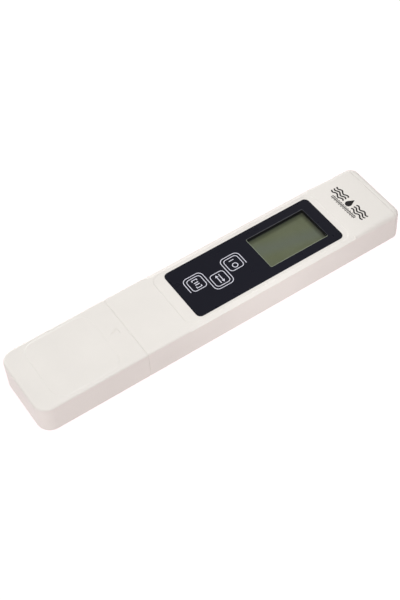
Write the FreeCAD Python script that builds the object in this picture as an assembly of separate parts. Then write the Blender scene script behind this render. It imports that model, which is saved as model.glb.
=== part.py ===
"""Pocket water tester: a flat white bar with a probe under a push-on cap at -X, a display and
three flush keys on top, and a pull-out battery drawer at +X. Millimetres, +Z up, resting on Z = 0."""
import FreeCAD, Part
import math
import os

from FreeCAD import Vector

# ---- the whole bar ----
LENGTH = 154.0
WIDTH = 30.0
HEIGHT = 12.6
TIP_CORNER_R = 5.4
END_CORNER_R = 3.6
TOP_EDGE_R = 0.8
HEAD_EDGE_R = 2.0
BOTTOM_EDGE_R = 0.8
WALL = 1.5
SEAM = 0.03
CAP_LIP_R = 0.12
DRAWER_LIP_R = 0.2
FIT = 0.05
HOLE_GAP = 0.02
OVERRUN = 1.0

TIP_X = -LENGTH / 2
END_X = LENGTH / 2
SIDE_Y = WIDTH / 2
MOUTH_X = TIP_X + 42.4
RING_T = 0.26
SHELL_X = MOUTH_X + RING_T
DRAWER_X = END_X - 2.8
ROLL_X = (51.0, 68.0)

CEILING_Z = HEIGHT - WALL
FLOOR_Z = WALL
INNER_Y = SIDE_Y - WALL
INNER_R = 1.5
MIDDLE_Z = (CEILING_Z + FLOOR_Z) / 2

# ---- top face: recess, label, display opening, keys, bevels beside them ----
RECESS = (-16.0, 54.8)
RECESS_Y = 13.0
RECESS_R = 3.4
RECESS_Z = HEIGHT - 0.18
RECESS_SPREAD = 1.5
BEVEL = (-16.9, 55.5)
BEVEL_Y = 13.4
BEVEL_SLOPE = 0.43

LABEL = (-11.45, 52.55)
LABEL_Y = 11.85
LABEL_R = 2.0
LABEL_Z = RECESS_Z + 0.15

DISPLAY = (22.4, 48.0)
DISPLAY_MIDDLE = sum(DISPLAY) / 2
DISPLAY_Y = 8.0
DISPLAY_R = 0.5
WINDOW_Z = RECESS_Z - 0.6
WINDOW_MARGIN = 1.1
COLLAR_T = 0.6

KEYS = {"hold": (-3.5, 1.5), "shift": (4.5, -1.5), "power": (12.5, 1.5)}
KEY_SIZE = 6.5
KEY_R = 1.3
KEY_GAP = 0.06
KEY_FLANGE = 7.3
KEY_FLANGE_T = 0.45
KEY_STEM_R = 1.5

# ---- cap ----
PANEL = (-69.2, -42.7)
PANEL_Y = 13.6
PANEL_R = 5.0
PANEL_Z = HEIGHT + 0.12
PANEL_SPREAD = 4.0
ARROW = (-40.4, -37.2)
ARROW_Y = 1.5
ARROW_Z = HEIGHT - 0.15

# ---- rear cover and its fastenings ----
CASE_SCREWS = [(-23.2, -10.0), (-23.2, 10.0)]
CASE_POST_Z = 3.6
CASE_BOSS_R = 2.5
CASE_SCREW_Z = (0.15, 7.95)
SCREW_R = 0.8
SCREW_HEAD_R = 1.5
SCREW_HEAD_T = 1.0
RECESS_LENGTH = 1.8
RECESS_WIDTH = 0.4
RECESS_DEPTH = 0.6
TAB_X = (-2.0, 28.0, 52.0)
TAB_LENGTH = 5.0
TAB_T = 0.9
RIDGE_OUT = 0.4
RIDGE_Z = (3.4, 4.2)

# ---- board and what it carries ----
BOARD = (-19.0, 57.0)
BOARD_Y = 12.4
BOARD_R = 1.0
BOARD_TOP = 7.2
BOARD_BOTTOM = BOARD_TOP - 1.0
BOARD_POSTS = [(-16.0, -9.5), (-16.0, 9.5), (54.0, -9.5), (54.0, 9.5)]
POST_R = 1.9
BOARD_SCREW_TOP = BOARD_TOP + 3.1

SWITCH_SIZE = 6.0
SWITCH_TOP = 9.6
SWITCH_WELL_Z = 7.9
PLUNGER_R = 1.6
PLUNGER_Z = (8.4, 10.1)

GLASS_SIZE = (29.0, 19.0)
GLASS_T = 0.55
GLASS_TOP = 10.8
REAR_GLASS_Y = 7.7
POLARISER_T = 0.15
REFLECTOR_T = 0.2
FRAME_WALL = 1.1
ZEBRA_LENGTH = 27.0
ZEBRA_Y = (7.8, 9.2)

BLOB = {"x": 30.0, "r": 6.0, "t": 1.6, "edge": 1.3}
AMPLIFIER = {"x": (-3.0, 2.0), "y": 2.0, "z": (4.7, 6.0)}
LEG = {"first": -2.65, "pitch": 1.27, "width": 0.4, "y": 3.0, "z": 5.95}
CHIP_SIZE = (1.6, 0.8)
RESISTOR_T = 0.5
RESISTORS = [(-9.0 + 3.2 * column, row) for row in (-6.4, 4.4) for column in range(5)]
CAPACITOR_T = 0.9
CAPACITORS = [(12.0, -8.0), (12.0, -4.5), (16.0, 5.5), (41.0, -6.0), (41.0, 5.2)]
CRYSTAL = {"x": (12.0, 18.0), "y": 9.6, "r": 1.0}

# ---- probe ----
SPIGOT_X = -43.5
SPIGOT_GAP = 0.06
SPIGOT_CHAMFER = 0.4
RING_INSET = 0.12
INSERT_X = -27.5
GROOVE = (-40.1, -38.5)
GROOVE_DEPTH = 0.9
SEAL_X = (-39.95, -38.65)
SEAL_EDGE_R = 0.35
NOSE_X = -60.0
NOSE_Y = 8.5
NOSE_HALF_T = 3.3
NOSE_R = 2.2
NOSE_EDGE_R = 0.8
PIN = (-68.0, -26.0)
PIN_R = 0.8
PIN_Y = 4.2
PIN_TIP_R = 0.6
SENSOR = (-63.5, -50.0)
SENSOR_R = 1.2
SENSOR_TIP_R = 0.8
LEAD_BORE_R = 1.25

# Each route is the lead on the +Y side; its twin is the mirror image.
ELECTRODE_LEAD_R = 0.4
ELECTRODE_LEAD = [(-26.0, 4.2, 6.3), (-23.2, 4.2, 6.3), (-20.0, 4.6, 7.7), (-15.5, 5.0, 7.62)]
SENSOR_LEAD_R = 0.3
SENSOR_LEAD = [(-50.0, 0.55, 6.3), (-30.0, 0.55, 6.3), (-20.5, 0.8, 7.65), (-15.5, 1.3, 7.52)]

# ---- battery drawer ----
CELL_R = 5.8
CELL_X = 66.4
CELL_Y = 6.2
CELL_LID_R = 5.2
CELL_LID_T = 0.5
POCKET_GAP = 0.1
TRAY_X = 59.0
TRAY_GAP = 0.2
TRAY_TOP = 8.3
PLUG_LENGTH = 1.6
POCKET_Z = 2.9
BRIDGE_REACH = 2.5
CELL_Z = POCKET_Z + 0.25
CELL_TOP = CELL_Z + 5.4
PULL_DEPTH = 0.8
PULL_LENGTH = 13.0
PULL_Z = (5.4, 7.0)
CONTACT_T = 0.25
CONTACT_W = 3.0
CONTACT_TOUCH_Z = CELL_TOP + 0.03
CONTACT_ARCH_Z = CELL_TOP + 0.4
CONTACT_PROFILE = [(55.9, BOARD_TOP), (57.0, BOARD_TOP), (58.6, CONTACT_ARCH_Z), (64.4, CONTACT_ARCH_Z),
                   (66.4, CONTACT_TOUCH_Z), (68.0, CONTACT_ARCH_Z)]


# ---- simple shapes ----
def both(reach):
    """The two ends of a span centred on the bar's middle line."""
    return (-reach, reach)


def block(x, y, z):
    """Box between the two ends given on each axis."""
    size = (x[1] - x[0], y[1] - y[0], z[1] - z[0])
    return Part.makeBox(*size, Vector(x[0], y[0], z[0]))


def post(x, y, z, radius):
    """Upright cylinder between two heights."""
    return Part.makeCylinder(radius, z[1] - z[0], Vector(x, y, z[0]))


def rod(x, y, z, radius):
    """Cylinder lying along X between two stations."""
    return Part.makeCylinder(radius, x[1] - x[0], Vector(x[0], y, z), Vector(1, 0, 0))


def rounded_wire(half_u, half_v, radius, place):
    """Closed rounded rectangle; place turns its own (u, v) into a point of the model."""
    inset = radius * (1 - math.sqrt(0.5))
    corners = []
    for sign_u, sign_v in [(1, -1), (1, 1), (-1, 1), (-1, -1)]:
        on_v = place(sign_u * half_u, sign_v * (half_v - radius))
        on_u = place(sign_u * (half_u - radius), sign_v * half_v)
        middle = place(sign_u * (half_u - inset), sign_v * (half_v - inset))
        corners.append((on_u, middle, on_v) if sign_u * sign_v < 0 else (on_v, middle, on_u))
    edges = []
    for corner, following in zip(corners, corners[1:] + corners[:1]):
        edges.append(Part.Arc(*corner).toShape())
        edges.append(Part.LineSegment(corner[2], following[0]).toShape())
    return Part.Wire(edges)


def plate(x, half_y, z, radius, y=0.0):
    """Slab with corners rounded in plan, centred on y."""
    centre = sum(x) / 2
    half_x = (x[1] - x[0]) / 2
    wire = rounded_wire(half_x, half_y, radius, lambda u, v: Vector(centre + u, y + v, z[0]))
    return Part.Face(wire).extrude(Vector(0, 0, z[1] - z[0]))


def leaning_plate(x, half_y, z, radius, spread):
    """Slab with rounded corners whose walls lean outwards by spread for each unit of rise."""
    centre = sum(x) / 2
    half_x = (x[1] - x[0]) / 2

    def level(rise):
        lean = spread * rise
        return rounded_wire(half_x + lean, half_y + lean, radius + lean,
                            lambda u, v: Vector(centre + u, v, z[0] + rise))

    return Part.makeLoft([level(0), level(z[1] - z[0])], True)


def bar_section(x, half_y, z, radius):
    """Bar along X whose cross-section is a rounded rectangle."""
    centre = sum(z) / 2
    half_z = (z[1] - z[0]) / 2
    wire = rounded_wire(half_y, half_z, radius, lambda u, v: Vector(x[0], u, centre + v))
    return Part.Face(wire).extrude(Vector(x[1] - x[0], 0, 0))


def fillet_where(shape, radius, wanted):
    """Round the edges whose bounding boxes pass the test."""
    return shape.makeFillet(radius, [edge for edge in shape.Edges if wanted(edge.BoundBox)])


def eased(shape, x, radius):
    """Round the outer edges that lie in the plane at x."""
    return fillet_where(shape, radius, lambda box: max(abs(box.XMin - x), abs(box.XMax - x)) < FIT)


def slab_between(x):
    """Everything between two stations along the bar."""
    return block(x, both(WIDTH), (-HEIGHT, 2 * HEIGHT))


def square_hole(centre, size, z):
    """Upright rounded square centred on a key."""
    x = (centre[0] - size / 2, centre[0] + size / 2)
    return plate(x, size / 2, z, KEY_R, centre[1])


def save(name, *shapes):
    """Write one node; several shapes stay separate solids."""
    shape = shapes[0] if len(shapes) == 1 else Part.makeCompound(list(shapes))
    shape.exportStep("parts/" + name + ".step")


# ---- the outer form, cut later into cap, shell and drawer front ----
def bar_blank():
    """Rounded block whose long edges are split where the top rounding grows towards the head."""
    def line(start, end):
        return Part.LineSegment(Vector(*start, 0), Vector(*end, 0)).toShape()

    edges = []
    stations = [TIP_X + TIP_CORNER_R, *ROLL_X, END_X - END_CORNER_R]
    for side in (-1, 1):
        y = side * SIDE_Y
        edges += [line((start, y), (end, y)) for start, end in zip(stations, stations[1:])]
    for end, radius in ((-1, TIP_CORNER_R), (1, END_CORNER_R)):
        x = end * END_X
        inset = radius * (1 - math.sqrt(0.5))
        edges.append(line((x, radius - SIDE_Y), (x, SIDE_Y - radius)))
        for side in (-1, 1):
            along = Vector(end * (END_X - radius), side * SIDE_Y, 0)
            middle = Vector(end * (END_X - inset), side * (SIDE_Y - inset), 0)
            across = Vector(x, side * (SIDE_Y - radius), 0)
            edges.append(Part.Arc(along, middle, across).toShape())
    outline = Part.Wire(Part.__sortEdges__(edges))
    return Part.Face(outline).extrude(Vector(0, 0, HEIGHT))


def outer_form():
    """The blank with its top edges rolled over, most at the head, and its bottom edges eased."""
    blank = bar_blank()
    document = FreeCAD.newDocument("bar")
    base = document.addObject("Part::Feature", "Blank")
    base.Shape = blank
    rolled = document.addObject("Part::Fillet", "Rolled")
    rolled.Base = base
    radii = []
    for number, edge in enumerate(blank.Edges, start=1):
        box = edge.BoundBox
        middle = (box.XMin + box.XMax) / 2
        if box.ZMin < HEIGHT - FIT:
            continue
        if ROLL_X[0] < middle < ROLL_X[1]:
            grows = edge.Vertexes[0].X < edge.Vertexes[1].X
            ends = (TOP_EDGE_R, HEAD_EDGE_R) if grows else (HEAD_EDGE_R, TOP_EDGE_R)
        else:
            ends = (HEAD_EDGE_R,) * 2 if middle > ROLL_X[1] else (TOP_EDGE_R,) * 2
        radii.append((number, *ends))
    rolled.Edges = radii
    document.recompute()
    return fillet_where(rolled.Shape, BOTTOM_EDGE_R, lambda box: box.ZMax < FIT)


# ---- housing ----
def bevel_cutter(side):
    """Wedge that slopes the top face down to one side beside the keys and the display."""
    reach = SIDE_Y + OVERRUN
    low = HEIGHT - BEVEL_SLOPE * (reach - BEVEL_Y)
    corners = [(BEVEL_Y, HEIGHT), (reach, low), (reach, HEIGHT + OVERRUN), (BEVEL_Y, HEIGHT)]
    outline = Part.makePolygon([Vector(BEVEL[0], side * y, z) for y, z in corners])
    return Part.Face(outline).extrude(Vector(BEVEL[1] - BEVEL[0], 0, 0))


def tab_ridge(x, side, clearance):
    """Ridge near the top of a rear-cover tab, or with no clearance the slot it snaps into."""
    y = sorted((side * (INNER_Y - SEAM), side * (INNER_Y + RIDGE_OUT - clearance)))
    reach = TAB_LENGTH / 2 - clearance
    return block((x - reach, x + reach), y, (RIDGE_Z[0] + clearance, RIDGE_Z[1] - clearance))


def front_shell(form):
    """Top and side walls in one piece, open below and at both ends."""
    ends = (SHELL_X, DRAWER_X - SEAM)
    shell = eased(form.common(slab_between(ends)), ends[0], CAP_LIP_R)
    shell = eased(shell, ends[1], DRAWER_LIP_R)
    shell = shell.cut(block((TIP_X, END_X), both(INNER_Y), (-HEIGHT, CEILING_Z)))
    shell = shell.cut(leaning_plate(RECESS, RECESS_Y, (RECESS_Z, HEIGHT + OVERRUN), RECESS_R, RECESS_SPREAD))
    for side in (-1, 1):
        shell = shell.cut(bevel_cutter(side))
    for margin, low in ((WINDOW_MARGIN + FIT, WINDOW_Z), (COLLAR_T + FIT, 0)):
        x = (DISPLAY[0] - margin, DISPLAY[1] + margin)
        shell = shell.cut(plate(x, DISPLAY_Y + margin, (low, HEIGHT), DISPLAY_R + margin))
    for centre in KEYS.values():
        shell = shell.cut(square_hole(centre, KEY_SIZE + 2 * KEY_GAP, (0, HEIGHT)))
    for posts, foot, screw_top in ((BOARD_POSTS, BOARD_TOP, BOARD_SCREW_TOP),
                                   (CASE_SCREWS, CASE_POST_Z, CASE_SCREW_Z[1])):
        for x, y in posts:
            shell = shell.fuse(post(x, y, (foot, CEILING_Z), POST_R))
            shell = shell.cut(post(x, y, (0, screw_top + FIT), SCREW_R + HOLE_GAP))
    for x in TAB_X:
        for side in (-1, 1):
            shell = shell.cut(tab_ridge(x, side, 0))
    return shell.removeSplitter()


def rear_cover():
    """Underside panel let into the shell, with screw bosses and snap tabs."""
    cover = block((SHELL_X, DRAWER_X - SEAM), both(INNER_Y - SEAM), (0, WALL))
    for x in TAB_X:
        reach = TAB_LENGTH / 2 - FIT
        for side in (-1, 1):
            y = sorted((side * (INNER_Y - SEAM), side * (INNER_Y - SEAM - TAB_T)))
            cover = cover.fuse(block((x - reach, x + reach), y, (WALL, RIDGE_Z[1] - FIT)))
            cover = cover.fuse(tab_ridge(x, side, FIT))
    for x, y in CASE_SCREWS:
        cover = cover.fuse(post(x, y, (WALL, CASE_POST_Z), CASE_BOSS_R))
        cover = cover.cut(post(x, y, (0, CASE_POST_Z), SCREW_R + HOLE_GAP))
        cover = cover.cut(post(x, y, (0, CASE_SCREW_Z[0]), SCREW_HEAD_R + HOLE_GAP))
        cover = cover.cut(Part.makeCone(SCREW_HEAD_R + HOLE_GAP, SCREW_R + HOLE_GAP, SCREW_HEAD_T,
                                        Vector(x, y, CASE_SCREW_Z[0])))
    return cover.removeSplitter()


def case_screw(x, y):
    """Countersunk screw pointing up, with a cross recess in its head."""
    low, high = CASE_SCREW_Z
    screw = post(x, y, (low, high), SCREW_R)
    screw = screw.fuse(Part.makeCone(SCREW_HEAD_R, SCREW_R, SCREW_HEAD_T, Vector(x, y, low)))
    for half_x, half_y in ((RECESS_LENGTH / 2, RECESS_WIDTH / 2), (RECESS_WIDTH / 2, RECESS_LENGTH / 2)):
        screw = screw.cut(block((x - half_x, x + half_x), (y - half_y, y + half_y), (0, low + RECESS_DEPTH)))
    return screw


def cap_pocket():
    """Cutter for the space inside the cap, rounded at the tip and along every edge."""
    x = (TIP_X + WALL, MOUTH_X + TIP_CORNER_R)
    pocket = plate(x, INNER_Y, (FLOOR_Z, CEILING_Z), TIP_CORNER_R - WALL)
    return fillet_where(pocket, INNER_R, lambda box: box.ZLength < FIT)


def probe_cap(form):
    """Push-on cap: a deep pocket behind a rounded tip, a low thumb panel and an arrow on top."""
    cap = eased(form.common(slab_between((TIP_X - OVERRUN, MOUTH_X))), MOUTH_X, CAP_LIP_R)
    cap = cap.cut(cap_pocket())
    cap = cap.fuse(leaning_plate(PANEL, PANEL_Y, (HEIGHT, PANEL_Z), PANEL_R, -PANEL_SPREAD))
    point = Vector(ARROW[0], 0, HEIGHT)
    tail = [Vector(ARROW[1], y, HEIGHT) for y in both(ARROW_Y)]
    arrow = Part.Face(Part.makePolygon([point, *tail, point]))
    return cap.cut(arrow.extrude(Vector(0, 0, ARROW_Z - HEIGHT)))


# ---- probe ----
def probe_head():
    """Insert held in the shell, ring that the cap meets, its spigot, and the electrodes' nose."""
    spigot_y = INNER_Y - SPIGOT_GAP
    spigot_z = (FLOOR_Z + SPIGOT_GAP, CEILING_Z - SPIGOT_GAP)
    spigot = bar_section((SPIGOT_X, SHELL_X), spigot_y, spigot_z, INNER_R)
    rim = [edge for edge in spigot.Edges if edge.BoundBox.XMax < SPIGOT_X + FIT]
    spigot = spigot.makeChamfer(SPIGOT_CHAMFER, rim)
    core_z = (spigot_z[0] + GROOVE_DEPTH, spigot_z[1] - GROOVE_DEPTH)
    core = bar_section(GROOVE, spigot_y - GROOVE_DEPTH, core_z, INNER_R - GROOVE_DEPTH)
    ring_z = (RING_INSET, HEIGHT - RING_INSET)
    ring = bar_section((MOUTH_X + SEAM, SHELL_X), SIDE_Y - RING_INSET, ring_z, TOP_EDGE_R)
    insert = block((SHELL_X, INSERT_X), both(INNER_Y), (FLOOR_Z, CEILING_Z))
    nose_z = (MIDDLE_Z - NOSE_HALF_T, MIDDLE_Z + NOSE_HALF_T)
    nose = bar_section((NOSE_X, SPIGOT_X + OVERRUN), NOSE_Y, nose_z, NOSE_R)
    nose = fillet_where(nose, NOSE_EDGE_R, lambda box: box.XMax < NOSE_X + FIT)
    head = spigot.cut(slab_between(GROOVE)).fuse(core).fuse(ring).fuse(insert).fuse(nose)
    for y in both(PIN_Y):
        head = head.cut(rod(PIN, y, MIDDLE_Z, PIN_R + HOLE_GAP))
    head = head.cut(rod(SENSOR, 0, MIDDLE_Z, SENSOR_R + HOLE_GAP))
    return head.cut(rod((SENSOR[1], INSERT_X), 0, MIDDLE_Z, LEAD_BORE_R)).removeSplitter()


def cap_seal():
    """Ring in the spigot's groove, just clear of the cap's pocket."""
    rim = SPIGOT_GAP / 2
    ring = bar_section(SEAL_X, INNER_Y - rim, (FLOOR_Z + rim, CEILING_Z - rim), INNER_R)
    ring = fillet_where(ring, SEAL_EDGE_R, lambda box: box.XLength < FIT)
    inset = SPIGOT_GAP + GROOVE_DEPTH
    hole_z = (FLOOR_Z + inset, CEILING_Z - inset)
    return ring.cut(bar_section(GROOVE, INNER_Y - inset, hole_z, INNER_R - GROOVE_DEPTH))


def domed_rod(x, y, radius, tip_radius):
    """Metal rod along the bar's mid-height with its outer end rounded over."""
    return fillet_where(rod(x, y, MIDDLE_Z, radius), tip_radius, lambda box: box.XMax < x[0] + FIT)


def lead(route, side, radius):
    """Round wire along straight runs joined by tangent arcs, each as large as its runs allow."""
    points = [Vector(x, side * y, z) for x, y, z in route]
    edges = []
    start = points[0]
    for before, corner, after in zip(points, points[1:], points[2:]):
        into = (corner - before).normalize()
        out = (after - corner).normalize()
        reach = 0.45 * min(before.distanceToPoint(corner), corner.distanceToPoint(after))
        half_turn = into.getAngle(out) / 2
        inward = (out - into).normalize()
        arc_radius = reach / math.tan(half_turn)
        bulge = arc_radius * (1 - math.cos(half_turn))
        first = corner - into * reach
        last = corner + out * reach
        middle = (first + last) / 2 - inward * bulge
        edges.append(Part.LineSegment(start, first).toShape())
        edges.append(Part.Arc(first, middle, last).toShape())
        print("lead arc radius", round(arc_radius, 2))
        start = last
    edges.append(Part.LineSegment(start, points[-1]).toShape())
    path = Part.Wire(edges)
    section = Part.Wire([Part.makeCircle(radius, points[0], points[1] - points[0])])
    wire = path.makePipeShell([section], True, True)
    print("lead volume", round(wire.Volume, 2), "of", round(math.pi * radius**2 * path.Length, 2))
    return wire


# ---- face ----
def face_label():
    """Thin overlay sheet with openings for the display and the keys."""
    label = plate(LABEL, LABEL_Y, (RECESS_Z, LABEL_Z), LABEL_R)
    label = label.cut(plate(DISPLAY, DISPLAY_Y, (RECESS_Z, LABEL_Z), DISPLAY_R))
    for centre in KEYS.values():
        label = label.cut(square_hole(centre, KEY_SIZE + 2 * KEY_GAP, (RECESS_Z, LABEL_Z)))
    return label


def display_window():
    """Clear pane let into the shell under the label."""
    x = (DISPLAY[0] - WINDOW_MARGIN, DISPLAY[1] + WINDOW_MARGIN)
    return plate(x, DISPLAY_Y + WINDOW_MARGIN, (WINDOW_Z, RECESS_Z), DISPLAY_R + WINDOW_MARGIN)


def key_cap(centre):
    """Key with a flange that keeps it in the shell and a stem that meets its switch."""
    flange_z = (CEILING_Z - FIT - KEY_FLANGE_T, CEILING_Z - FIT)
    key = square_hole(centre, KEY_SIZE, (flange_z[1], LABEL_Z))
    key = key.fuse(square_hole(centre, KEY_FLANGE, flange_z))
    return key.fuse(post(*centre, (PLUNGER_Z[1], flange_z[0]), KEY_STEM_R)).removeSplitter()


# ---- display ----
def display_block(length, half_y, z):
    """Box centred on the display."""
    return block((DISPLAY_MIDDLE - length / 2, DISPLAY_MIDDLE + length / 2), both(half_y), z)


def lcd_frame():
    """Black holder standing on the board: walls round the glass and a collar up to the window."""
    length, width = GLASS_SIZE
    outer = display_block(length + 2 * FRAME_WALL, width / 2 + FRAME_WALL, (BOARD_TOP, CEILING_Z))
    inner = display_block(length + 2 * FIT, width / 2 + FIT, (BOARD_TOP, GLASS_TOP))
    collar_x = (DISPLAY[0] - COLLAR_T, DISPLAY[1] + COLLAR_T)
    collar = plate(collar_x, DISPLAY_Y + COLLAR_T, (CEILING_Z, WINDOW_Z), DISPLAY_R + COLLAR_T)
    opening = plate(DISPLAY, DISPLAY_Y, (BOARD_TOP, WINDOW_Z), DISPLAY_R)
    return outer.cut(inner).fuse(collar).cut(opening).removeSplitter()


def front_polariser():
    """Film on the front glass, inside the frame's opening."""
    x = (DISPLAY[0] + FIT, DISPLAY[1] - FIT)
    return plate(x, DISPLAY_Y - FIT, (GLASS_TOP, GLASS_TOP + POLARISER_T), DISPLAY_R)


def zebra_strip(side):
    """Elastomer connector between the board and a contact ledge of the front glass."""
    half_y = (ZEBRA_Y[1] - ZEBRA_Y[0]) / 2
    strip = display_block(ZEBRA_LENGTH, half_y, (BOARD_TOP, GLASS_TOP - GLASS_T))
    strip.translate(Vector(0, side * sum(ZEBRA_Y) / 2, 0))
    return strip


# ---- board ----
def circuit_board():
    """Board with a clearance hole at each post."""
    board = plate(BOARD, BOARD_Y, (BOARD_BOTTOM, BOARD_TOP), BOARD_R)
    for x, y in BOARD_POSTS:
        board = board.cut(post(x, y, (BOARD_BOTTOM, BOARD_TOP), SCREW_R + HOLE_GAP))
    return board


def board_screw(x, y):
    """Pan-headed slotted screw under the board."""
    low = BOARD_BOTTOM - SCREW_HEAD_T
    head = post(x, y, (low, BOARD_BOTTOM), SCREW_HEAD_R)
    head = fillet_where(head, RECESS_WIDTH, lambda box: box.ZMax < low + FIT)
    slot_x = (x - SCREW_HEAD_R, x + SCREW_HEAD_R)
    slot_y = (y - RECESS_WIDTH / 2, y + RECESS_WIDTH / 2)
    head = head.cut(block(slot_x, slot_y, (low, low + RECESS_WIDTH)))
    return head.fuse(post(x, y, (BOARD_BOTTOM, BOARD_SCREW_TOP), SCREW_R))


def switch_base(x, y):
    """Tactile switch body with a round well for its plunger."""
    half = SWITCH_SIZE / 2
    base = block((x - half, x + half), (y - half, y + half), (BOARD_TOP, SWITCH_TOP))
    return base.cut(post(x, y, (SWITCH_WELL_Z, SWITCH_TOP), PLUNGER_R + FIT))


def controller_chip():
    """Bare chip under a low resin dome."""
    low = BOARD_BOTTOM - BLOB["t"]
    dome = post(BLOB["x"], 0, (low, BOARD_BOTTOM), BLOB["r"])
    return fillet_where(dome, BLOB["edge"], lambda box: box.ZMax < low + FIT)


def amplifier_chip():
    """Chip under the board on four pairs of legs."""
    chip = block(AMPLIFIER["x"], both(AMPLIFIER["y"]), AMPLIFIER["z"])
    for number in range(4):
        x = LEG["first"] + LEG["pitch"] * number
        chip = chip.fuse(block((x, x + LEG["width"]), both(LEG["y"]), (LEG["z"], BOARD_BOTTOM)))
    return chip


def chips(places, thickness):
    """Small surface-mounted parts under the board."""
    length, width = CHIP_SIZE
    z = (BOARD_BOTTOM - thickness, BOARD_BOTTOM)
    return [block((x, x + length), (y, y + width), z) for x, y in places]


# ---- battery drawer ----
def bridge_contact():
    """Strip under both cells that joins them."""
    x = (CELL_X - BRIDGE_REACH, CELL_X + BRIDGE_REACH)
    return block(x, both(CELL_Y + BRIDGE_REACH), (POCKET_Z, CELL_Z))


def battery_cover(form):
    """End cover with a tray behind it that carries the two cells side by side."""
    cover = eased(form.common(slab_between((DRAWER_X, END_X + OVERRUN))), DRAWER_X, DRAWER_LIP_R)
    half_y = INNER_Y - TRAY_GAP
    low = FLOOR_Z + TRAY_GAP
    cover = cover.fuse(block((TRAY_X, DRAWER_X), both(half_y), (low, TRAY_TOP)))
    cover = cover.fuse(block((DRAWER_X - PLUG_LENGTH, DRAWER_X), both(half_y), (low, CEILING_Z - TRAY_GAP)))
    for y in both(CELL_Y):
        cover = cover.cut(post(CELL_X, y, (POCKET_Z, CEILING_Z), CELL_R + POCKET_GAP))
    cover = cover.cut(bridge_contact())
    finger_pull = block((END_X - PULL_DEPTH, END_X + OVERRUN), both(PULL_LENGTH / 2), PULL_Z)
    return cover.cut(finger_pull).removeSplitter()


def button_cell(side):
    """Cell with a wide can and a narrower lid; the +Y cell lies lid up, the other lid down."""
    y = side * CELL_Y
    can_z = (CELL_Z, CELL_TOP - CELL_LID_T) if side > 0 else (CELL_Z + CELL_LID_T, CELL_TOP)
    cell = post(CELL_X, y, can_z, CELL_R).fuse(post(CELL_X, y, (CELL_Z, CELL_TOP), CELL_LID_R))
    return cell.removeSplitter()


def leaf_contact(side):
    """Sprung strip from the board's end, up and over to the top of one cell."""
    under = [Vector(x, side * CELL_Y - CONTACT_W / 2, z) for x, z in CONTACT_PROFILE]
    over = [point + Vector(0, 0, CONTACT_T) for point in reversed(under)]
    outline = Part.makePolygon(under + over + under[:1])
    return Part.Face(outline).extrude(Vector(0, CONTACT_W, 0))


# ---- write every node ----
os.makedirs("parts", exist_ok=True)
bar = outer_form()

save("front_shell", front_shell(bar))
save("rear_cover", rear_cover())
save("case_screws", *[case_screw(x, y) for x, y in CASE_SCREWS])

save("probe_cap", probe_cap(bar))
save("probe_head", probe_head())
save("cap_seal", cap_seal())
save("electrode_pins", *[domed_rod(PIN, y, PIN_R, PIN_TIP_R) for y in both(PIN_Y)])
save("temperature_sensor", domed_rod(SENSOR, 0, SENSOR_R, SENSOR_TIP_R))
save("electrode_leads", *[lead(ELECTRODE_LEAD, side, ELECTRODE_LEAD_R) for side in (-1, 1)])
save("sensor_leads", *[lead(SENSOR_LEAD, side, SENSOR_LEAD_R) for side in (-1, 1)])

save("face_label", face_label())
save("display_window", display_window())
for key_name, key_centre in KEYS.items():
    save(key_name + "_key", key_cap(key_centre))
    save(key_name + "_plunger", post(*key_centre, PLUNGER_Z, PLUNGER_R))

glass_length, glass_width = GLASS_SIZE
rear_glass_z = (GLASS_TOP - 2 * GLASS_T, GLASS_TOP - GLASS_T)
reflector_z = (rear_glass_z[0] - REFLECTOR_T, rear_glass_z[0])
save("lcd_frame", lcd_frame())
save("lcd_front_polariser", front_polariser())
save("lcd_glass_front", display_block(glass_length, glass_width / 2, (rear_glass_z[1], GLASS_TOP)))
save("lcd_glass_rear", display_block(glass_length, REAR_GLASS_Y, rear_glass_z))
save("lcd_reflector", display_block(glass_length, REAR_GLASS_Y, reflector_z))
save("zebra_strips", zebra_strip(-1), zebra_strip(1))

save("circuit_board", circuit_board())
save("board_screws", *[board_screw(x, y) for x, y in BOARD_POSTS])
save("switch_bases", *[switch_base(x, y) for x, y in KEYS.values()])
save("controller_chip", controller_chip())
save("amplifier_chip", amplifier_chip())
save("chip_resistors", *chips(RESISTORS, RESISTOR_T))
save("chip_capacitors", *chips(CAPACITORS, CAPACITOR_T))
save("crystal", rod(CRYSTAL["x"], CRYSTAL["y"], BOARD_BOTTOM - CRYSTAL["r"], CRYSTAL["r"]))

save("battery_cover", battery_cover(bar))
save("bridge_contact", bridge_contact())
save("left_cell", button_cell(1))
save("right_cell", button_cell(-1))
save("positive_contact", leaf_contact(-1))
save("negative_contact", leaf_contact(1))
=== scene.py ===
"""Looks of the pocket water tester: procedural materials on every CAD node, the printed symbols,
soft studio light, a pale floor and the camera. Metres, in the CAD frame."""
import math

import bmesh
import bpy
from mathutils import Matrix, Vector


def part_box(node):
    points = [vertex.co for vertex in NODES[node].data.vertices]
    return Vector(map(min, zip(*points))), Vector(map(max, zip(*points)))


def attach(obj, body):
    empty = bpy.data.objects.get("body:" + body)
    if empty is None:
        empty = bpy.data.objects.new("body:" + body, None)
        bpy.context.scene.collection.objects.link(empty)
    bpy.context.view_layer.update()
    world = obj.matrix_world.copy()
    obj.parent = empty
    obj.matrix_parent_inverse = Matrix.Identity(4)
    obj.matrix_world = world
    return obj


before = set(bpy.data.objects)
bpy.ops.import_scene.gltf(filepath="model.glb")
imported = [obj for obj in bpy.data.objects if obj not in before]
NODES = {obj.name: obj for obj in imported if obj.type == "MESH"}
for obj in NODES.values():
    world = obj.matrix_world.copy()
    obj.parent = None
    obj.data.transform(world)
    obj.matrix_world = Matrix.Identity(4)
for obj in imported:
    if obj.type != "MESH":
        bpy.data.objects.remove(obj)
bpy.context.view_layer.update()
MM = 0.001

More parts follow.
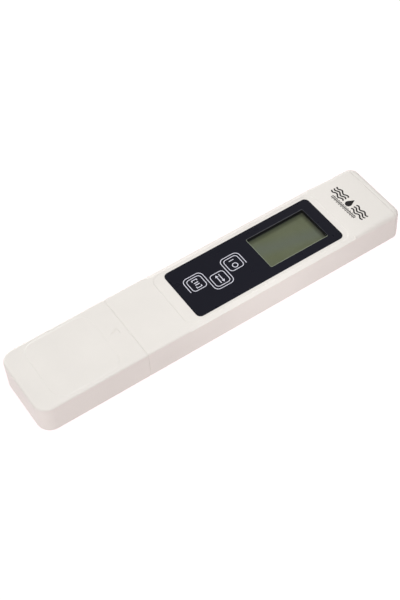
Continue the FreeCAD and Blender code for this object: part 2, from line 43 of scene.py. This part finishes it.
# ---- places read from the frame ----
LABEL_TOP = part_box("face_label")[1].z
SHELL_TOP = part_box("front_shell")[1].z
SCREEN_LOW, SCREEN_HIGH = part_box("lcd_front_polariser")
SCREEN_MIDDLE = (SCREEN_LOW + SCREEN_HIGH) / 2

# ---- printed lines and the painted highlight round the display ----
INK_T = 0.03 * MM
LINE_W = 0.28 * MM
KEY_LINE_SIZE = 5.8 * MM
KEY_LINE_R = 1.25 * MM
TRACK_R = 1.9 * MM
TRACK_MARGIN = 1.05 * MM
TRACK_END_SHARE = 0.42
SYMBOL_W = 0.31 * MM
BAR_W = SYMBOL_W * 1.2
EDGE_W = 0.16 * MM
EDGE_R = 0.5 * MM
EDGE_MARGIN = 0.05 * MM
CORNER_STEPS = 8
CIRCLE_STEPS = 28

# ---- marks on the head; places along X and widths in metres, the rest in millimetres ----
DROP_X = 64.1 * MM
DROP_TIP = 2.3
DROP_R = 1.35
DROP_CENTRE = (0, -0.55)
DROP_ARC = (28, -208)
RIPPLE_W = 0.58 * MM
RIPPLE_LEVELS = (-1.25, 0.0, 1.25)
RIPPLE_START = 2.4
RIPPLE_STEP = 0.15
RIPPLE_POINTS = 47
RIPPLE_SWING = 0.40
RIPPLE_PERIOD = 3.45
TICK_X = 61.1 * MM
TICK_W = 0.36 * MM
TICK_PITCH = 0.66
TICK_REACH = (0.6, 0.85)
TICKS_EACH_SIDE = 10

# ---- camera ----
CAMERA_AZIMUTH, CAMERA_ELEVATION, CAMERA_ROLL = (math.radians(a) for a in (-30.28, 51.49, -4.50))
CAMERA_DISTANCE = 459.1 * MM
CAMERA_TARGET = Vector((-1.69, 3.21, 0)) * MM
CAMERA_LENS = 75.39
SENSOR_WIDTH = 36.0

# ---- colours ----
WHITE = (0.800, 0.765, 0.722)
INK_BLACK = (0.0098, 0.0100, 0.0160)
PALE_INK = (0.68, 0.68, 0.76)
DARK_INK = (0.014, 0.012, 0.013)
SCREEN_DARK = (0.126, 0.137, 0.070)
SCREEN_PALE = (0.153, 0.164, 0.100)
# painted reflection: pale slanting band on the display film
SCREEN_PAINTED_REFLECTION = (0.132, 0.145, 0.110)
# painted shadow of the window walls on the display film's far and drawer edges
SCREEN_FAR_PAINTED_SHADOW = (0.022, 0.026, 0.016)
SCREEN_END_PAINTED_SHADOW = (0.030, 0.028, 0.018)
# painted highlight on the overlay's cut edge round the display: grey, pale on near and tip sides, dim on the
# drawer side
EDGE_HIGHLIGHT_GREY = (0.105, 0.110, 0.120)
EDGE_NEAR_HIGHLIGHT = (0.30, 0.33, 0.25)
EDGE_TIP_HIGHLIGHT = (0.26, 0.29, 0.22)
EDGE_DIM_HIGHLIGHT = (0.040, 0.042, 0.050)
FLOOR_DARK = (0.09, 0.09, 0.09)
FLOOR_PALE = (0.11, 0.11, 0.11)
FLOOR_GLOW = (1.0, 0.90, 0.91, 1)
FLOOR_GLOW_STRENGTH = 1.05

# ---- lights: name, place, size and power; all aim at the middle of the object ----
AREA_LIGHTS = (
    ("overhead", (-0.05, 0.03, 0.42), 0.25, 0.70),
    ("overhead_drawer", (0.16, -0.04, 0.42), 0.25, 0.54),
    ("overhead_near", (-0.08, -0.19, 0.40), 0.20, 0.44),
    ("tip_fill", (-0.40, -0.15, 0.12), 0.20, 0.38),
    ("far_side", (-0.05, 0.50, 0.08), 0.20, 1.35),
    ("far_drawer", (0.30, 0.32, 0.20), 0.15, 0.20),
)
BEAM_PLACE = Vector((0.018, -0.45, 0.24))
BEAM_TARGET = Vector((0.018, 0, 0.006))
BEAM_ANGLE = math.radians(10.5)
BEAM_SOFTNESS = 0.8
BEAM_RADIUS = 0.03
BEAM_POWER = 1.58
SURROUNDINGS = 0.10


# ---- material building ----
class Shader:
    """One material's node tree, with short calls for adding and joining nodes."""

    def __init__(self, name):
        self.material = bpy.data.materials.new(name)
        self.material.use_nodes = True
        self.tree = self.material.node_tree
        self.tree.nodes.clear()
        self.output = self.add("ShaderNodeOutputMaterial")
        self.place = self.add("ShaderNodeTexCoord").outputs["Object"]

    def add(self, kind, values=None, **settings):
        """A node with its settings and input values; a value that is a socket is linked."""
        node = self.tree.nodes.new(kind)
        for key, value in settings.items():
            setattr(node, key, value)
        for key, value in (values or {}).items():
            if isinstance(value, bpy.types.NodeSocket):
                self.tree.links.new(value, node.inputs[key])
            else:
                node.inputs[key].default_value = value
        return node

    def noise(self, scale, detail=3.0, roughness=0.5, stretch=(1, 1, 1)):
        """Noise of the given features per metre, stretched along the axes."""
        where = self.add("ShaderNodeMapping", {"Vector": self.place, "Scale": stretch})
        values = {"Vector": where.outputs[0], "Scale": scale, "Detail": detail, "Roughness": roughness}
        return self.add("ShaderNodeTexNoise", values).outputs["Fac"]

    def ramp(self, factor, stops):
        """Colour ramp through (position, colour) stops."""
        node = self.add("ShaderNodeValToRGB", {"Fac": factor})
        elements = node.color_ramp.elements
        while len(elements) < len(stops):
            elements.new(0.5)
        for element, (position, colour) in zip(elements, stops):
            element.position = position
            element.color = (*colour, 1)
        return node.outputs["Color"]

    def spread(self, factor, low, high, start=0.3, end=0.7):
        """A factor turned into the range low to high."""
        values = {"Value": factor, "From Min": start, "From Max": end, "To Min": low, "To Max": high}
        return self.add("ShaderNodeMapRange", values).outputs["Result"]

    def along(self, origin, direction, stops):
        """Smooth factor that follows (millimetres, value) stops along a direction from an origin."""
        offset = self.add("ShaderNodeVectorMath", {0: self.place, 1: origin}, operation="SUBTRACT")
        values = {0: offset.outputs[0], 1: direction.normalized() / MM}
        distance = self.add("ShaderNodeVectorMath", values, operation="DOT_PRODUCT").outputs["Value"]
        first, last = stops[0][0], stops[-1][0]
        share = self.spread(distance, 0, 1, first, last)
        grey = [((reach - first) / (last - first), (value,) * 3) for reach, value in stops]
        colour = self.ramp(share, grey)
        colour.node.color_ramp.interpolation = "EASE"
        return colour

    def blended(self, factor, first, second):
        """Colour that goes from first to second as the factor rises."""
        node = self.add("ShaderNodeMix", data_type="RGBA")
        colour_a, colour_b = (socket for socket in node.inputs if socket.type == "RGBA")
        self.tree.links.new(factor, node.inputs[0])
        self.tree.links.new(first, colour_a)
        colour_b.default_value = (*second, 1)
        return next(socket for socket in node.outputs if socket.type == "RGBA")

    def bump(self, height, depth, strength=1.0, before=None):
        """Normal from a height; depth is in metres."""
        values = {"Height": height, "Distance": depth, "Strength": strength}
        if before is not None:
            values["Normal"] = before
        return self.add("ShaderNodeBump", values).outputs["Normal"]

    def surface(self, **values):
        """Principled shader joined to the output, with socket names written as words_with_underscores."""
        named = {key.replace("_", " "): value for key, value in values.items()}
        shader = self.add("ShaderNodeBsdfPrincipled", named)
        self.tree.links.new(shader.outputs[0], self.output.inputs["Surface"])
        return self.material


def shades(colour, amount):
    """Two stops either side of a colour, for quiet variation."""
    return [(0.3, [c * (1 - amount) for c in colour]), (0.7, [c * (1 + amount) for c in colour])]


def moulded(name, colour, rough=0.42, variation=0.02):
    """Moulded plastic: cloudy colour, uneven sheen, slow waves and a fine spark-eroded grain."""
    s = Shader(name)
    cloud = s.noise(55, 4, 0.55)
    normal = s.bump(s.noise(90, 2), 0.002 * MM, 0.3)
    normal = s.bump(s.noise(5200, 2), 0.004 * MM, 0.6, normal)
    return s.surface(Base_Color=s.ramp(cloud, shades(colour, variation)),
                     Roughness=s.spread(s.noise(240, 3), rough - 0.04, rough + 0.05),
                     Normal=normal)


def brushed(name, colour, rough, direction):
    """Metal with fine streaks along one axis."""
    s = Shader(name)
    streaks = s.noise(9000, 3, 0.6, direction)
    tone = s.ramp(s.noise(350, 3), shades(colour, 0.05))
    return s.surface(Base_Color=tone, Metallic=1.0,
                     Roughness=s.spread(streaks, rough - 0.05, rough + 0.06),
                     Normal=s.bump(streaks, 0.002 * MM, 0.5))


def film(name, colour, rough, specular=0.5):
    """Printed overlay film: deep ink under a lightly textured clear face."""
    s = Shader(name)
    return s.surface(Base_Color=s.ramp(s.noise(60, 2), shades(colour, 0.03)),
                     Roughness=s.spread(s.noise(160, 2), rough - 0.008, rough + 0.008),
                     Specular_IOR_Level=specular, Normal=s.bump(s.noise(5200, 2), 0.003 * MM, 0.5))


def clear_pane():
    """Clear window: mostly see-through, with a mirror share that grows at low angles."""
    s = Shader("clear_pane")
    slant = s.add("ShaderNodeLayerWeight", {"Blend": 0.5}).outputs["Facing"]
    share = s.ramp(slant, [(0.3, (0.025,) * 3), (0.75, (0.2,) * 3), (1.0, (1.0,) * 3)])
    smudge = s.spread(s.noise(130, 4), 0.05, 0.10)
    mirror = {"Base Color": (0.9, 0.92, 0.92, 1), "Roughness": smudge, "Metallic": 1.0}
    gloss = s.add("ShaderNodeBsdfPrincipled", mirror)
    clear = s.add("ShaderNodeBsdfTransparent", {"Color": (0.97, 0.98, 0.97, 1)})
    mix = s.add("ShaderNodeMixShader", {0: share, 1: clear.outputs[0], 2: gloss.outputs[0]})
    s.tree.links.new(mix.outputs[0], s.output.inputs["Surface"])
    return s.material


def screen_film():
    """Grey-green display film, cloudy; a pale slanting band of painted reflection, painted shadow at far and
    drawer edges.
    """
    s = Shader("screen_film")
    colour = s.ramp(s.noise(95, 3, 0.5, (1, 0.6, 1)), [(0.3, SCREEN_DARK), (0.7, SCREEN_PALE)])
    # painted reflection of the window: a pale slanting band across the film
    reflection_paint = s.along(SCREEN_MIDDLE, Vector((0.25, 1, 0)), ((-6.0, 0), (-1.0, 0.85), (4.5, 0)))
    colour = s.blended(reflection_paint, colour, SCREEN_PAINTED_REFLECTION)
    # painted shadow of the window walls: the film darkens towards its far edge
    far = s.along(SCREEN_HIGH, Vector((0, 1, 0)), ((-2.6, 0), (-0.9, 0.55), (0.0, 1)))
    colour = s.blended(far, colour, SCREEN_FAR_PAINTED_SHADOW)
    # painted shadow of the window walls: the film darkens towards its drawer-side edge
    drawer_painted_shade = s.along(SCREEN_HIGH, Vector((1, 0, 0)), ((-2.2, 0), (-0.8, 0.5), (0.0, 1)))
    colour = s.blended(drawer_painted_shade, colour, SCREEN_END_PAINTED_SHADOW)
    return s.surface(Base_Color=colour, Roughness=s.spread(s.noise(900, 2), 0.38, 0.48),
                     Normal=s.bump(s.noise(6000, 2), 0.004 * MM, 0.4))


def painted_edge_highlight():
    """Painted highlight on the overlay's cut edge: pale on the near and tip sides, dimmed on the drawer
    side.
    """
    s = Shader("painted_edge_highlight")
    tone = s.ramp(s.noise(300, 3), shades(EDGE_HIGHLIGHT_GREY, 0.15))
    # painted highlight: paler towards the near and tip sides, dimmer on the drawer side
    near = s.along(SCREEN_LOW, Vector((0, 1, 0)), ((0.0, 1), (0.4, 0)))
    tone = s.blended(near, tone, EDGE_NEAR_HIGHLIGHT)
    tip_highlight = s.along(SCREEN_LOW, Vector((1, 0, 0)), ((0.0, 1), (0.4, 0)))
    tone = s.blended(tip_highlight, tone, EDGE_TIP_HIGHLIGHT)
    drawer_painted_shade = s.along(SCREEN_HIGH, Vector((1, 0, 0)), ((-0.3, 0), (0.0, 1)))
    tone = s.blended(drawer_painted_shade, tone, EDGE_DIM_HIGHLIGHT)
    return s.surface(Base_Color=tone, Roughness=s.spread(s.noise(420, 3), 0.26, 0.34))


# ---- meshes for printed marks ----
def new_object(name, mesh, material):
    """Scene object from a finished mesh, faces turned outwards, with one material."""
    bmesh.ops.recalc_face_normals(mesh, faces=mesh.faces)
    data = bpy.data.meshes.new(name)
    mesh.to_mesh(data)
    mesh.free()
    data.materials.append(material)
    piece = bpy.data.objects.new(name, data)
    bpy.context.scene.collection.objects.link(piece)
    return piece


def new_piece(name, mesh, material, body):
    """Object in the CAD frame that rides on a body, with the given material."""
    piece = new_object(name, mesh, material)
    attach(piece, body)


def rounded_path(corners, radius, closed):
    """Points along straight runs with an arc at each corner."""
    count = len(corners)
    path = []
    for index, corner in enumerate(corners):
        if not closed and index in (0, count - 1):
            path.append(corner.copy())
            continue
        into = (corner - corners[index - 1]).normalized()
        out = (corners[(index + 1) % count] - corner).normalized()
        turn = into.angle(out)
        reach = radius * math.tan(turn / 2)
        side = 1 if into.cross(out) > 0 else -1
        start = corner - into * reach
        centre = start + Vector((-into.y, into.x)) * radius * side
        arm = start - centre
        for step in range(CORNER_STEPS + 1):
            spin = Matrix.Rotation(side * turn * step / CORNER_STEPS, 2)
            path.append(centre + spin @ arm)
    return path


def add_stroke(mesh, path, width, low, closed):
    """Flat printed line of even width along a path, as a thin closed solid."""
    count = len(path)
    rings = []
    for index, point in enumerate(path):
        before = path[index - 1] if closed or index else point
        after = path[(index + 1) % count] if closed or index < count - 1 else point
        into = (point - before).normalized() if before is not point else (after - point).normalized()
        out = (after - point).normalized() if after is not point else into
        along = (into + out).normalized()
        across = Vector((-along.y, along.x)) * width / 2 / max(along.dot(into), 0.5)
        ring = []
        for flat, z in ((point + across, low), (point - across, low),
                        (point - across, low + INK_T), (point + across, low + INK_T)):
            ring.append(mesh.verts.new((flat.x, flat.y, z)))
        rings.append(ring)
    pairs = zip(rings, rings[1:] + rings[:1]) if closed else zip(rings, rings[1:])
    for first, second in pairs:
        for corner in range(4):
            nxt = (corner + 1) % 4
            mesh.faces.new((first[corner], first[nxt], second[nxt], second[corner]))
    if not closed:
        mesh.faces.new(rings[0])
        mesh.faces.new(rings[-1][::-1])


def add_patch(mesh, outline, low):
    """Filled printed shape as a thin closed solid."""
    bottom = [mesh.verts.new((p.x, p.y, low)) for p in outline]
    top = [mesh.verts.new((p.x, p.y, low + INK_T)) for p in outline]
    mesh.faces.new(bottom[::-1])
    mesh.faces.new(top)
    for index in range(len(outline)):
        nxt = (index + 1) % len(outline)
        mesh.faces.new((bottom[index], bottom[nxt], top[nxt], top[index]))


def upright(centre, points):
    """Symbol points (right, up), read with the probe end down, placed on the top face."""
    return [Vector((centre.x + up * MM, centre.y - right * MM)) for right, up in points]


def arc(radius, start, end, centre):
    """Points of a circular arc between two angles in degrees, anticlockwise from the right."""
    shares = [step / CIRCLE_STEPS for step in range(CIRCLE_STEPS + 1)]
    turns = [math.radians(start + (end - start) * share) for share in shares]
    return [(centre[0] + radius * math.cos(t), centre[1] + radius * math.sin(t)) for t in turns]


def box_corners(centre, half_x, half_y):
    """Corners of a rectangle, anticlockwise."""
    signs = ((-1, -1), (1, -1), (1, 1), (-1, 1))
    return [Vector((centre.x + half_x * sx, centre.y + half_y * sy)) for sx, sy in signs]


# ---- key marks; symbol points are in millimetres ----
def power_symbol(mesh, centre, low):
    """A bar beside a ring, the usual on and off marks."""
    add_stroke(mesh, upright(centre, [(-1.6, -1.0), (-1.6, 1.0)]), SYMBOL_W, low, False)
    ring = upright(centre, arc(1.0, 0, 360, (1.0, 0)))[:-1]
    add_stroke(mesh, ring, SYMBOL_W, low, True)


def shift_symbol(mesh, centre, low):
    """Two arrows pointing opposite ways."""
    for way in (1, -1):
        level = 0.65 * way
        shaft = [(-2.0 * way, level), (1.1 * way, level)]
        add_stroke(mesh, upright(centre, shaft), SYMBOL_W, low, False)
        head = [(1.0 * way, level + 0.65), (1.0 * way, level - 0.6), (2.1 * way, level)]
        add_patch(mesh, upright(centre, head), low)


def hold_symbol(mesh, centre, low):
    """Two upright bars between brackets."""
    for side in (-1, 1):
        bar = [(0.45 * side, -0.9), (0.45 * side, 0.9)]
        add_stroke(mesh, upright(centre, bar), BAR_W, low, False)
        bracket = [(1.25 * side, -1.0), (1.9 * side, -1.0), (1.9 * side, 1.0), (1.25 * side, 1.0)]
        add_stroke(mesh, upright(centre, bracket), SYMBOL_W, low, False)


SYMBOLS = {"hold": hold_symbol, "shift": shift_symbol, "power": power_symbol}


def key_centre(name):
    """Centre of a key's top face."""
    low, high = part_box(name + "_key")
    middle = (low + high) / 2
    return Vector((middle.x, middle.y, high.z))


def key_marks(ink):
    """Rounded outline and symbol on each key, moving with the key."""
    for name, symbol in SYMBOLS.items():
        centre = key_centre(name)
        mesh = bmesh.new()
        corners = box_corners(centre, KEY_LINE_SIZE / 2, KEY_LINE_SIZE / 2)
        add_stroke(mesh, rounded_path(corners, KEY_LINE_R, True), LINE_W, centre.z, True)
        symbol(mesh, centre, centre.z)
        new_piece(name + "_key_mark", mesh, ink, name + "_button")


def track_line(ink):
    """One winding line printed on the label round the three keys."""
    hold, shift, power = (key_centre(name) for name in SYMBOLS)
    pitch = shift.x - hold.x
    far = hold.y + KEY_LINE_SIZE / 2 + TRACK_MARGIN
    near = shift.y - KEY_LINE_SIZE / 2 - TRACK_MARGIN
    columns = [hold.x - pitch / 2, hold.x + pitch / 2, shift.x + pitch / 2, power.x + pitch / 2]
    end = hold.y - KEY_LINE_SIZE * TRACK_END_SHARE
    corners = [(columns[0], end), (columns[0], far), (columns[1], far), (columns[1], near),
               (columns[2], near), (columns[2], far), (columns[3], far), (columns[3], end)]
    path = rounded_path([Vector(corner) for corner in corners], TRACK_R, False)
    mesh = bmesh.new()
    add_stroke(mesh, path, LINE_W, LABEL_TOP, False)
    new_piece("key_track", mesh, ink, "housing")


# ---- head marks ----
def head_marks(ink):
    """A water drop between rows of ripples, over a short tick scale."""
    mesh = bmesh.new()
    centre = Vector((DROP_X, 0))
    drop = [(0.0, DROP_TIP)] + arc(DROP_R, *DROP_ARC, DROP_CENTRE)
    add_patch(mesh, upright(centre, drop), SHELL_TOP)
    lengths = [RIPPLE_STEP * step for step in range(RIPPLE_POINTS)]
    wave = [(RIPPLE_START + u, RIPPLE_SWING * math.sin(u * 2 * math.pi / RIPPLE_PERIOD)) for u in lengths]
    for side in (-1, 1):
        for level in RIPPLE_LEVELS:
            ripple = [(side * reach, level + swing) for reach, swing in wave]
            add_stroke(mesh, upright(centre, ripple), RIPPLE_W, SHELL_TOP, False)
    centre = Vector((TICK_X, 0))
    for number in range(-TICKS_EACH_SIDE, TICKS_EACH_SIDE + 1):
        reach = TICK_REACH[number % 2]
        tick = [(TICK_PITCH * number, -reach), (TICK_PITCH * number, reach)]
        add_stroke(mesh, upright(centre, tick), TICK_W, SHELL_TOP, False)
    new_piece("head_mark", mesh, ink, "housing")


# ---- painted highlight round the display ----
def window_edge_highlight(material):
    """Painted highlight: a pale stroke on the overlay's cut edge round the display, standing in for the
    light it catches.
    """
    half_x = (SCREEN_HIGH.x - SCREEN_LOW.x) / 2 + EDGE_MARGIN
    half_y = (SCREEN_HIGH.y - SCREEN_LOW.y) / 2 + EDGE_MARGIN
    path = rounded_path(box_corners(SCREEN_MIDDLE, half_x, half_y), EDGE_R, True)
    mesh = bmesh.new()
    add_stroke(mesh, path, EDGE_W, LABEL_TOP, True)
    new_piece("window_edge_highlight", mesh, material, "housing")


# ---- materials on the CAD nodes: each finish, with the nodes that wear it ----
MATERIALS = {
    moulded("white_plastic", WHITE): (
        "front_shell", "rear_cover", "probe_cap", "battery_cover", "probe_head"),
    film("label_film", INK_BLACK, 0.28, 0.2): ("face_label", "hold_key", "shift_key", "power_key"),
    clear_pane(): ("display_window",),
    screen_film(): ("lcd_front_polariser",),
    film("frame_black", (0.010, 0.010, 0.012), 0.5): ("lcd_frame",),
    film("glass_edge", (0.32, 0.38, 0.34), 0.15): ("lcd_glass_front", "lcd_glass_rear"),
    film("reflector_silver", (0.42, 0.44, 0.36), 0.3): ("lcd_reflector",),
    moulded("connector_rubber", (0.05, 0.05, 0.055), 0.6, 0.15): ("zebra_strips",),
    moulded("seal_rubber", (0.018, 0.018, 0.020), 0.55, 0.15): ("cap_seal",),
    film("board_mask", (0.02, 0.09, 0.035), 0.3): ("circuit_board",),
    moulded("black_resin", (0.014, 0.014, 0.015), 0.25, 0.2): ("controller_chip",),
    moulded("black_body", (0.022, 0.022, 0.024), 0.45, 0.15): (
        "amplifier_chip", "switch_bases", "chip_resistors"),
    moulded("tan_ceramic", (0.36, 0.26, 0.16), 0.5, 0.1): ("chip_capacitors",),
    moulded("grey_plunger", (0.09, 0.09, 0.095), 0.45, 0.1): (
        "hold_plunger", "shift_plunger", "power_plunger"),
    moulded("red_insulation", (0.45, 0.02, 0.02), 0.4, 0.1): ("electrode_leads",),
    moulded("black_insulation", (0.02, 0.02, 0.022), 0.4, 0.1): ("sensor_leads",),
    brushed("zinc_steel", (0.60, 0.60, 0.62), 0.30, (1, 1, 0.1)): ("case_screws", "board_screws", "crystal"),
    brushed("pin_metal", (0.55, 0.54, 0.53), 0.26, (0.05, 1, 1)): ("electrode_pins", "temperature_sensor"),
    brushed("cell_metal", (0.74, 0.74, 0.75), 0.36, (0.2, 1, 1)): ("left_cell", "right_cell"),
    brushed("nickel_strip", (0.68, 0.65, 0.58), 0.25, (0.1, 1, 1)): (
        "bridge_contact", "positive_contact", "negative_contact"),
}
for material, names in MATERIALS.items():
    for name in names:
        NODES[name].data.materials.clear()
        NODES[name].data.materials.append(material)

# ---- printed and fine pieces ----
pale_ink = film("pale_ink", PALE_INK, 0.5)
key_marks(pale_ink)
track_line(pale_ink)
head_marks(film("dark_ink", DARK_INK, 0.5, 0.2))
# painted highlight stroke round the display
window_edge_highlight(painted_edge_highlight())


# ---- stage ----
def floor():
    """Wide pale floor that glows a little, with a faint unevenness."""
    s = Shader("studio_floor")
    s.surface(Base_Color=s.ramp(s.noise(2, 2), [(0.3, FLOOR_DARK), (0.7, FLOOR_PALE)]),
              Roughness=s.spread(s.noise(30, 2), 0.85, 0.95), Specular_IOR_Level=0.0,
              Emission_Color=FLOOR_GLOW, Emission_Strength=FLOOR_GLOW_STRENGTH)
    mesh = bmesh.new()
    bmesh.ops.create_grid(mesh, x_segments=8, y_segments=8, size=4.0)
    new_object("floor", mesh, s.material)


def add_light(data, place, target):
    """Scene object for a light at a place, turned towards a target."""
    light = bpy.data.objects.new(data.name, data)
    light.location = place
    light.rotation_euler = (target - place).to_track_quat("-Z", "Y").to_euler()
    bpy.context.scene.collection.objects.link(light)


def studio_light():
    """Dim white surroundings, soft square lights round the object and a beam on its middle."""
    world = bpy.data.worlds.new("studio")
    world.use_nodes = True
    world.node_tree.nodes["Background"].inputs["Color"].default_value = (1, 1, 1, 1)
    world.node_tree.nodes["Background"].inputs["Strength"].default_value = SURROUNDINGS
    bpy.context.scene.world = world
    for name, place, size, power in AREA_LIGHTS:
        data = bpy.data.lights.new(name, "AREA")
        data.size = size
        data.energy = power
        add_light(data, Vector(place), Vector((0, 0, 0)))
    beam = bpy.data.lights.new("middle", "SPOT")
    beam.spot_size = BEAM_ANGLE
    beam.spot_blend = BEAM_SOFTNESS
    beam.shadow_soft_size = BEAM_RADIUS
    beam.energy = BEAM_POWER
    add_light(beam, BEAM_PLACE, BEAM_TARGET)


def camera():
    """The camera stands off the probe end, above the near side."""
    right = Vector((math.cos(CAMERA_AZIMUTH), math.sin(CAMERA_AZIMUTH), 0))
    back = Vector((right.y, -right.x, 0)) * math.cos(CAMERA_ELEVATION)
    back.z = math.sin(CAMERA_ELEVATION)
    up = back.cross(right)
    turned_right = right * math.cos(CAMERA_ROLL) + up * math.sin(CAMERA_ROLL)
    turned_up = up * math.cos(CAMERA_ROLL) - right * math.sin(CAMERA_ROLL)
    data = bpy.data.cameras.new("camera")
    data.sensor_width = SENSOR_WIDTH
    data.lens = CAMERA_LENS
    data.clip_start = 0.01
    data.clip_end = 20
    cam = bpy.data.objects.new("camera", data)
    axes = Matrix((turned_right, turned_up, back)).transposed()
    cam.matrix_world = Matrix.Translation(CAMERA_TARGET + back * CAMERA_DISTANCE) @ axes.to_4x4()
    bpy.context.scene.collection.objects.link(cam)
    bpy.context.scene.camera = cam


floor()
studio_light()
camera()
bpy.context.scene.view_settings.view_transform = "Standard"
